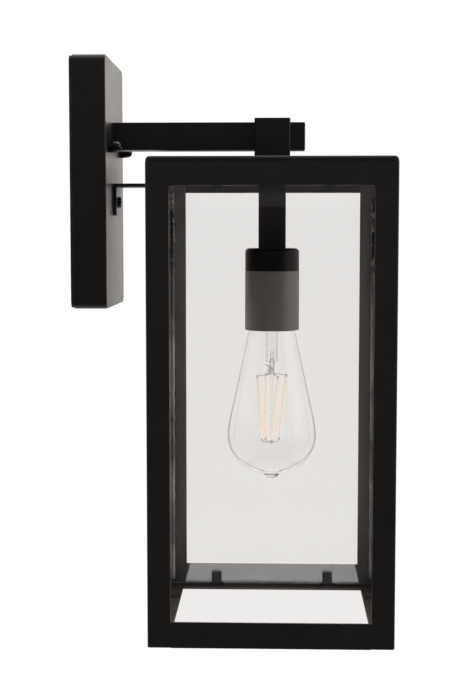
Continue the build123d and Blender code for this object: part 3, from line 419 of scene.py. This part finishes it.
def keep(bm, name, material, body, replaced=(), rounds=0):
    """Turns a bmesh into a piece of the lantern."""
    bmesh.ops.recalc_face_normals(bm, faces=bm.faces)
    mesh = bpy.data.meshes.new(name)
    bm.to_mesh(mesh)
    bm.free()
    mesh.shade_smooth()
    mesh.materials.append(material)
    piece = bpy.data.objects.new(name, mesh)
    bpy.context.collection.objects.link(piece)
    return finish_piece(piece, body, replaced, rounds)


def turn(bm, outline, steps):
    """Spins an outline, of radius and depth below the sleeve's mouth in millimetres, round the bulb's axis
    and closes its seam and poles.
    """
    chain = [bm.verts.new(below_mouth(radius, 0, down)) for radius, down in outline]
    geom = chain + [bm.edges.new(pair) for pair in zip(chain, chain[1:])]
    bmesh.ops.spin(bm, geom=geom, cent=(bulb_axis.x, bulb_axis.y, 0), axis=(0, 0, 1), angle=FULL_TURN,
                   steps=steps, use_merge=True, use_duplicate=False)
    bmesh.ops.remove_doubles(bm, verts=bm.verts, dist=WELD)


def pushed_out(outline):
    """Moves the points out by what the rounding will take off them."""
    moved = [outline[0]]
    for before, here, after in zip(outline, outline[1:], outline[2:]):
        moved.append(tuple(h + (h - (p + n) / 2) / 3 for p, h, n in zip(before, here, after)))
    return moved + [outline[-1]]


def drawn_in(outline, wall):
    """The same outline moved in by the wall's thickness."""
    inner = []
    for i, (radius, down) in enumerate(outline):
        before, after = outline[max(i - 1, 0)], outline[min(i + 1, len(outline) - 1)]
        along = Vector((after[0] - before[0], after[1] - before[1])).normalized()
        inner.append((radius - wall * along.y, down + wall * along.x))
    return inner


def below_mouth(x, y, down):
    """A place given across the bulb's axis and down from the sleeve's mouth, in millimetres."""
    return Vector((bulb_axis.x + x * MM, bulb_axis.y + y * MM, sleeve_mouth - down * MM))


# ---------------------------------------------------------------- bulb glass
# (radius, depth below the sleeve's mouth) in millimetres, of a bulb SHAPE_RADIUS in radius at its widest
# and SHAPE_DEPTH deep without its nib. blow_bulb() fits it to the bulb of the model.
SHAPE_RADIUS = 32.4
SHAPE_DEPTH = 104.2
BULB_SHAPE = [(11.9, -11.5), (12.1, -9.5), (14.6, -5.5), (17.2, 0), (19.0, 9), (21.1, 19), (23.6, 30.5),
              (26.2, 43), (28.7, 54.5), (30.9, 64.5), (32.25, 73.5), (32.25, 80.5), (30.9, 86.5), (28.0, 92.0),
              (23.8, 97.2), (18.4, 101.2), (13.4, 103.5), (9.4, 104.5)]
NIB_SHAPE = [(7.6, 104.8), (6.9, 105.2), (6.0, 106.2), (4.8, 107.7), (3.3, 108.8), (0.0, 109.0)]
NIB_HOLLOW = [(7.0, 104.4), (3.5, 104.55), (0.0, 104.6)]
BULB_WALL = 0.40             # millimetres
NIB_DEPTH = 4.8 * MM
ROUNDING_LOSS = 1.001        # the rounding takes a little off the widest place
BULB_STEPS = 64

widen = bulb_radius / (SHAPE_RADIUS * MM) * ROUNDING_LOSS
deepen = (sleeve_mouth - low("bulb_glass").z - NIB_DEPTH) / (SHAPE_DEPTH * MM)


def blow_bulb():
    """The clear envelope with its wall, from the neck inside the holder to the nib that seals it."""
    body = [(radius * widen, down * (deepen if down > 0 else 1)) for radius, down in BULB_SHAPE]
    nib, hollow = ([(radius, (down - SHAPE_DEPTH) + SHAPE_DEPTH * deepen) for radius, down in shape]
                   for shape in (NIB_SHAPE, NIB_HOLLOW))
    outside = pushed_out(body + nib)
    inside = pushed_out(drawn_in(body, BULB_WALL) + hollow)
    bm = bmesh.new()
    turn(bm, list(reversed(outside)) + inside, BULB_STEPS)
    keep(bm, "bulb_envelope", bulb_clear, "bulb", ["bulb_glass"], rounds=2)


blow_bulb()

# ---------------------------------------------------------------- what stands inside the bulb
# in millimetres, depths from the sleeve's mouth
MOUNT_STEPS = 40
MOUNT_FOOT = 24.5
PINCH_FOOT = 32.0
FILAMENT_TOP = 35.5
FILAMENT_LONG = 46.5
FILAMENT_TOP_OUT = 11.6
FILAMENT_FOOT_OUT = 7.4
FILAMENT_THICK = 1.9
FILAMENT_TOPS = (23, 113, 203, 293)       # degrees round the axis
FILAMENT_FEET = (4, 88, 222, 309)         # the sticks lean unevenly
HUB_DEPTH = FILAMENT_TOP + FILAMENT_LONG + 2.2
FILAMENTS = range(len(FILAMENT_TOPS))
LEAD_OUT, LEAD_FRONT = 3.4, 0.9           # where a lead comes down through the mount
TIP_THICK, ROD_THICK = 2.2, 3.4           # in lead widths: the filaments' metal tips, and the hub's pin


def filament_ends(index):
    top, foot = (Vector((-sin(radians(angle)), cos(radians(angle)))) * out for angle, out in
                 ((FILAMENT_TOPS[index], FILAMENT_TOP_OUT), (FILAMENT_FEET[index], FILAMENT_FOOT_OUT)))
    drop = sqrt(FILAMENT_LONG ** 2 - (top - foot).length_squared)
    return below_mouth(top.x, top.y, FILAMENT_TOP), below_mouth(foot.x, foot.y, FILAMENT_TOP + drop)


def capsule(bm, start, end, thick, rings=16, blunt=0.35):
    """A round stick with softened ends from one place to another."""
    length = (end - start).length
    turned = (end - start).to_track_quat("Z", "Y").to_matrix().to_4x4()
    lined_up = Matrix.Translation((start + end) / 2) @ turned
    stick = bmesh.ops.create_cone(bm, cap_ends=True, segments=rings, radius1=thick / 2, radius2=thick / 2,
                                  depth=length, matrix=lined_up)
    rims = {edge for vert in stick["verts"] for edge in vert.link_edges
            if abs((edge.verts[1].co - edge.verts[0].co).normalized().dot((end - start).normalized())) < 0.5}
    bmesh.ops.bevel(bm, geom=list(rims), offset=thick * blunt, offset_type="OFFSET", segments=3, profile=0.5,
                    affect="EDGES", material=-1, clamp_overlap=True)


def stand_filaments():
    bm = bmesh.new()
    for index in FILAMENTS:
        top, foot = filament_ends(index)
        capsule(bm, top, foot, FILAMENT_THICK * MM)
    keep(bm, "bulb_filament_sticks", amber, "bulb", ["bulb_filaments"])


def draw_mount():
    """Flared glass tube, its flat pinch and the thin rod that the filaments' feet hang on."""
    outside = [(11.3, -10.5), (9.6, -8.2), (6.4, -6.0), (4.9, -2.0), (4.6, 4), (4.6, 12),
               (4.6, MOUNT_FOOT - 3), (4.3, MOUNT_FOOT - 0.8), (3.2, MOUNT_FOOT), (0, MOUNT_FOOT + 0.2)]
    inside = [(0, MOUNT_FOOT - 1.8), (2.2, MOUNT_FOOT - 2.1), (3.4, MOUNT_FOOT - 3.6), (3.7, 12), (3.7, 4),
              (4.0, -2), (5.4, -5.6), (9.0, -7.6), (10.9, -10.3)]
    bm = bmesh.new()
    turn(bm, outside + inside, MOUNT_STEPS)
    rim = [edge for edge in bm.edges if edge.is_boundary]
    bmesh.ops.bridge_loops(bm, edges=rim)
    place = Matrix.Translation(below_mouth(0, 0, (MOUNT_FOOT + PINCH_FOOT) / 2 + 0.3))
    pinch = bmesh.ops.create_cube(bm, size=1, matrix=place @ Matrix.Diagonal(
        (10.6 * MM, 3.6 * MM, (PINCH_FOOT - MOUNT_FOOT) * MM, 1)))
    edges = list({edge for vert in pinch["verts"] for edge in vert.link_edges})
    bmesh.ops.bevel(bm, geom=edges, offset=1.3 * MM, offset_type="OFFSET", segments=4, profile=0.5,
                    affect="EDGES", material=-1, clamp_overlap=True)
    capsule(bm, below_mouth(0, 0, PINCH_FOOT + 0.9), below_mouth(0, 0, HUB_DEPTH - 0.6), 1.7 * MM)
    keep(bm, "bulb_stem_glass", stem_clear, "bulb", ["bulb_mount"])


def wire(curve, places, radius=1.0):
    """Adds a smooth wire through the curve's places. radius is in widths of the curve's own bevel."""
    spline = curve.splines.new("NURBS")
    spline.points.add(len(places) - 1)
    for point, place in zip(spline.points, places):
        point.co = (*place, 1)
        point.radius = radius
    spline.order_u = 3
    spline.use_endpoint_u = True
    spline.resolution_u = 8


def bend_leads():
    """Leads from the pinch to the filaments' tops, and the little star that ties their feet together."""
    curve = bpy.data.curves.new("bulb_leads", "CURVE")
    curve.dimensions = "3D"
    curve.bevel_depth = 0.30 * MM
    curve.bevel_resolution = 3
    curve.use_fill_caps = True
    curve.materials.append(nickel)
    for index in FILAMENTS:
        top, foot = filament_ends(index)
        along = (top - foot).normalized()
        side = 1 if top.x > bulb_axis.x else -1
        front = 1 if top.y > bulb_axis.y else -1
        wire(curve, [below_mouth(side * LEAD_OUT, front * LEAD_FRONT, MOUNT_FOOT - 8),
                     below_mouth(side * LEAD_OUT, front * LEAD_FRONT, PINCH_FOOT - 1),
                     below_mouth(side * 3.6, front * 1.2, PINCH_FOOT + 0.9),
                     (below_mouth(side * 3.6, front * 1.2, PINCH_FOOT + 1.4) + top) / 2
                     + Vector((0, 0, 0.6 * MM)),
                     top + along * 1.7 * MM, top + along * 0.2 * MM, top - along * 1.2 * MM])
        wire(curve, [top + along * 1.9 * MM, top - along * 2.2 * MM], TIP_THICK)
        wire(curve, [foot + along * 2.0 * MM, foot - along * 1.6 * MM], TIP_THICK)
        hub = below_mouth(0, 0, HUB_DEPTH)
        wire(curve, [foot - along * 1.2 * MM, foot - along * 2.2 * MM,
                     foot.lerp(hub, 0.6) - Vector((0, 0, 1.1 * MM)), hub])
    wire(curve, [below_mouth(0, 0, HUB_DEPTH - 2.4), below_mouth(0, 0, HUB_DEPTH + 0.9)], ROD_THICK)
    # two crimped wires beside the pinch
    for side, way in ((1, 1), (-1, -1)):
        wire(curve, [below_mouth(side * 2.6, 1.4 + way * (4.6 if step % 2 else -4.2),
                                 MOUNT_FOOT + 1.2 + step * 2.1) for step in range(5)])
    piece = bpy.data.objects.new("bulb_leads", curve)
    bpy.context.collection.objects.link(piece)
    finish_piece(piece, "bulb", ["bulb_wires"])


stand_filaments()
draw_mount()
bend_leads()

# ---------------------------------------------------------------- sealant in the glass box's corners
SEALANT_WIDE = 2.2 * MM
SEALANT_TUCK = 0.3 * MM      # how far the bead's middle stays off the two panes
SEALANT_TRIM = 0.02 * MM     # and how far its cut faces do
SEALANT_CUTS = 90
SWELLS = 160                 # how quickly the bead's width changes up its length


def run_sealant():
    """An uneven bead up each corner where two panes meet, thinner towards the foot."""
    wide_x, wide_y = low("glass_right").x, low("glass_rear").y - lantern_axis_y
    foot, head = low("glass_right").z + 4 * MM, low("top_rail_right").z + 1 * MM
    bm = bmesh.new()
    for side in (-1, 1):
        for way in (-1, 1):
            corner = Vector((side * (wide_x - SEALANT_TUCK), lantern_axis_y + way * (wide_y - SEALANT_TUCK), 0))
            bead = bmesh.ops.create_cone(bm, cap_ends=True, segments=16, radius1=SEALANT_WIDE,
                                         radius2=SEALANT_WIDE, depth=head - foot,
                                         matrix=Matrix.Translation(corner + Vector((0, 0, (head + foot) / 2))))
            lengthways = [edge for edge in {edge for vert in bead["verts"] for edge in vert.link_edges}
                          if abs((edge.verts[1].co - edge.verts[0].co).normalized().z) > 0.9]
            bmesh.ops.subdivide_edges(bm, edges=lengthways, cuts=SEALANT_CUTS)
            for vert in bm.verts:
                out = vert.co - corner
                out.z = 0
                if out.length < 2 * SEALANT_WIDE:
                    swell = 0.30 * noise.noise(Vector((side * 3, way * 5, vert.co.z * SWELLS)))
                    thinner = 0.35 * (head - vert.co.z) / (head - foot)
                    vert.co += out * (swell - thinner)
    for away, wide in ((Vector((1, 0, 0)), wide_x), (Vector((0, 1, 0)), wide_y)):
        for way in (-1, 1):
            place = Vector((0, lantern_axis_y, 0)) + away * way * (wide - SEALANT_TRIM)
            bmesh.ops.bisect_plane(bm, geom=bm.verts[:] + bm.edges[:] + bm.faces[:], plane_co=place,
                                   plane_no=away * way, clear_outer=True)
    bmesh.ops.holes_fill(bm, edges=[edge for edge in bm.edges if edge.is_boundary])
    keep(bm, "corner_sealant", sealant, "fixture")


run_sealant()

# ---------------------------------------------------------------- threads of the bulb and its holder
THREAD_PITCH = 3.63 * MM
THREAD_STEPS = 40
THREAD_FOOT = 1.2 * MM       # plain wall below the thread
THREAD_HEAD = 1.6 * MM       # and above it
THREAD_WALL = 0.3 * MM


def roll_thread(name, node, crest, root, material, body, shoulder):
    """Rolled sheet thread: one wave of the wall spun up in a screw, trimmed top and bottom."""
    bottom, top = low(node).z, high(node).z
    turns = int((top - bottom) / THREAD_PITCH) + 3
    bm = bmesh.new()
    wave = [(root, 0), (root, 0.16), (crest, 0.40), (crest, 0.60), (root, 0.84), (root, 1)]
    chain = [bm.verts.new((bulb_axis.x + radius, bulb_axis.y, bottom + (step - 1.5) * THREAD_PITCH))
             for radius, step in wave]
    geom = chain + [bm.edges.new(pair) for pair in zip(chain, chain[1:])]
    bmesh.ops.spin(bm, geom=geom, cent=(bulb_axis.x, bulb_axis.y, 0), axis=(0, 0, 1), angle=FULL_TURN * turns,
                   dvec=(0, 0, THREAD_PITCH / THREAD_STEPS), steps=THREAD_STEPS * turns, use_duplicate=False)
    bmesh.ops.remove_doubles(bm, verts=bm.verts, dist=WELD)
    ends = ((bottom + THREAD_FOOT, -1, [(1.0, -0.9), (1.0, -0.3)]),
            (top - THREAD_HEAD, 1, [(0.985, 0.9), (shoulder, 0.6)]))
    for height, way, _ in ends:
        bmesh.ops.bisect_plane(bm, geom=bm.verts[:] + bm.edges[:] + bm.faces[:], dist=1e-7,
                               plane_co=(0, 0, height), plane_no=(0, 0, way), clear_outer=True)
    for height, _, moves in ends:
        rim = [edge for edge in bm.edges if edge.is_boundary
               and all(abs(vert.co.z - height) < 1e-5 for vert in edge.verts)]
        for narrower, up in moves:
            drawn = bmesh.ops.extrude_edge_only(bm, edges=rim)["geom"]
            verts = [part for part in drawn if isinstance(part, bmesh.types.BMVert)]
            rim = [part for part in drawn if isinstance(part, bmesh.types.BMEdge)
                   and all(vert in verts for vert in part.verts)]
            bmesh.ops.scale(bm, verts=verts, vec=(narrower, narrower, 1),
                            space=Matrix.Translation((-bulb_axis.x, -bulb_axis.y, 0)))
            bmesh.ops.translate(bm, verts=verts, vec=(0, 0, up * MM))
    piece = keep(bm, name, material, body, [node])
    wall = piece.modifiers.new("wall", "SOLIDIFY")
    wall.thickness = THREAD_WALL
    wall.offset = -1


roll_thread("bulb_screw_base", "bulb_base_shell", 13.0 * MM, 12.25 * MM, nickel, "bulb", 0.84)
roll_thread("holder_screw_shell", "socket_shell", 13.98 * MM, 13.5 * MM, brass, "fixture", 0.93)

# ---------------------------------------------------------------- light
WORLD_BRIGHT = 1.02                  # behind the lantern, as it is looked at
WORLD_ABOVE = 1.50                   # the rest is what the lantern mirrors: on the far side
WORLD_UNDER = 0.95
WORLD_DIM_ABOVE = 0.22               # and on the near side
WORLD_DIM_BELOW = 0.03
WORLD_WARM = (1.0, 0.94, 0.915)      # its colour
FLOOR_BELOW = 0.17                   # below the lantern's foot, so that the bulb can be lowered
FLOOR_RADIUS = 9.0
FLOOR_SHINE = 0.98


def set_world():
    """Soft studio walls: bright beyond the lantern, dark on the near side below eye level."""
    world = bpy.data.worlds.new("studio")
    bpy.context.scene.world = world
    world.use_nodes = True
    nodes, links = world.node_tree.nodes, world.node_tree.links
    places = nodes.new("ShaderNodeTexCoord")
    split = nodes.new("ShaderNodeSeparateXYZ")
    links.new(places.outputs["Generated"], split.inputs["Vector"])

    def fade(source, lowest, highest, first, last):
        node = nodes.new("ShaderNodeMapRange")
        node.interpolation_type = "SMOOTHSTEP"
        for socket, value in zip(("From Min", "From Max"), (lowest, highest)):
            node.inputs[socket].default_value = value
        for socket, value in zip(("To Min", "To Max"), (first, last)):
            if isinstance(value, float):
                node.inputs[socket].default_value = value
            else:
                links.new(value, node.inputs[socket])
        links.new(source, node.inputs["Value"])
        return node.outputs["Result"]

    far_side = fade(split.outputs["Z"], -0.16, 0.06, WORLD_UNDER, WORLD_ABOVE)
    near_side = fade(split.outputs["Z"], 0.0195, 0.0225, WORLD_DIM_BELOW, WORLD_DIM_ABOVE)
    shone = fade(split.outputs["X"], -0.50, 0.30, near_side, far_side)
    path = nodes.new("ShaderNodeLightPath")
    looked_at = nodes.new("ShaderNodeMath")
    looked_at.operation = "MAXIMUM"
    links.new(path.outputs["Is Camera Ray"], looked_at.inputs[0])
    links.new(path.outputs["Is Transmission Ray"], looked_at.inputs[1])
    strength = fade(looked_at.outputs["Value"], 0.0, 1.0, shone, WORLD_BRIGHT)
    links.new(strength, nodes["Background"].inputs["Strength"])
    tone = nodes.new("ShaderNodeMix")
    tone.data_type = "RGBA"
    tone.inputs[6].default_value = (*WORLD_WARM, 1)
    tone.inputs[7].default_value = (1, 1, 1, 1)
    links.new(looked_at.outputs["Value"], tone.inputs[0])
    links.new(tone.outputs[2], nodes["Background"].inputs["Color"])


def lamp(name, place, target, width, height, power, only_on=()):
    """A soft panel that isn't seen itself. only_on names the pieces that it shines on, if not all."""
    data = bpy.data.lights.new(name, "AREA")
    data.shape = "RECTANGLE"
    data.size, data.size_y = width, height
    data.energy = power
    light = bpy.data.objects.new(name, data)
    bpy.context.collection.objects.link(light)
    light.location = place
    light.rotation_mode = "QUATERNION"
    light.rotation_quaternion = (Vector(target) - Vector(place)).to_track_quat("-Z", "Y")
    light.visible_camera = False
    light.visible_transmission = False
    if only_on:
        shone_on = bpy.data.collections.new(name + "_shines_on")
        for node in only_on:
            shone_on.objects.link(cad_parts[node])
        light.light_linking.receiver_collection = shone_on


def lay_floor():
    """A pale floor that can be seen through from below, so that the lantern's foot can be looked at."""
    paint = Finish("pale_floor", Base_Color=(0.05, 0.05, 0.05, 1), Roughness=0.9, Specular_IOR_Level=0.0,
                   Emission_Color=(1, 1, 1, 1), Emission_Strength=FLOOR_SHINE)
    side = paint.nodes.new("ShaderNodeNewGeometry")
    clear = paint.nodes.new("ShaderNodeBsdfTransparent")
    either = paint.nodes.new("ShaderNodeMixShader")
    paint.join(side.outputs["Backfacing"], either.inputs["Fac"])
    paint.join(paint.shader.outputs["BSDF"], either.inputs[1])
    paint.join(clear.outputs["BSDF"], either.inputs[2])
    paint.join(either.outputs["Shader"], paint.output.inputs["Surface"])
    bm = bmesh.new()
    bmesh.ops.create_circle(bm, cap_ends=True, radius=FLOOR_RADIUS, segments=96,
                            matrix=Matrix.Translation((0, lantern_axis_y, lantern_foot - FLOOR_BELOW)))
    mesh = bpy.data.meshes.new("floor")
    bm.to_mesh(mesh)
    bm.free()
    mesh.materials.append(paint.material)
    floor = bpy.data.objects.new("floor", mesh)
    bpy.context.collection.objects.link(floor)
    floor.visible_glossy = False


set_world()
lay_floor()
lamp("side_panel", (-0.5, -1.6, 0.1), (0, lantern_axis_y, -0.1), 1.0, 1.2, 6)
lamp("inner_panel", (-1.5, lantern_axis_y, -0.2), (0, lantern_axis_y, -0.2), 1.0, 1.0, 17,
     only_on=["post_front_right", "post_rear_right", "bottom_rail_right", "glass_clips_lower"])
lamp("table_panel", (0.0, lantern_axis_y, lantern_foot - 0.05), (0.0, lantern_axis_y, 0), 0.40, 0.60, 3.2,
     only_on=["glass_front", "glass_right", "glass_rear", "glass_left"])
lamp("top_panel", (0.4, -0.5, 1.8), (0.3, lantern_axis_y, -0.4), 1.6, 1.6, 8)

view_settings = bpy.context.scene.view_settings
view_settings.view_transform = "Standard"
view_settings.look = "None"
